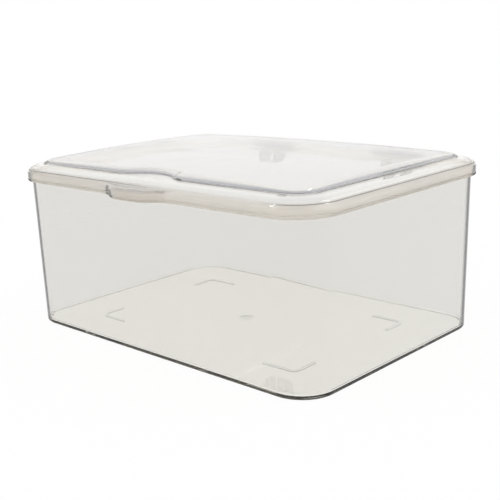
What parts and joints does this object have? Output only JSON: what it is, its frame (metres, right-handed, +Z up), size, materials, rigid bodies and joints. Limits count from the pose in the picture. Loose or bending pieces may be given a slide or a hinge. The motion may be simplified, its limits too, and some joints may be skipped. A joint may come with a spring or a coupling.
{
  "type": "storage box with hinged lid",
  "caption": "Clear moulded storage box with rounded corners and a crowned lid that hinges open at the back and has a thumb tab at the front.",
  "frame": {"origin": "on the ground, under the middle of the tub", "axes": "+Z up, +X along the length to the right as seen from the front, +Y to the back, where the hinges are; the thumb tab faces -Y"},
  "size_m": [0.3428, 0.2753, 0.1557],
  "materials": {
    "clear_tub": "clear, polished",
    "clear_lid": "clear, polished",
    "clear_pin": "clear, polished"
  },
  "bodies": {
    "tub": {"tub": "clear_tub"},
    "lid": {"lid": "clear_lid", "left_hinge_pin": "clear_pin", "right_hinge_pin": "clear_pin"}
  },
  "joints": [
    {"name": "lid_hinge", "type": "hinge", "parent": "tub", "child": "lid", "pos_m": [0, 0.13237, 0.1401], "axis": [-1, 0, 0], "range_deg": [0, 110]}
  ]
}
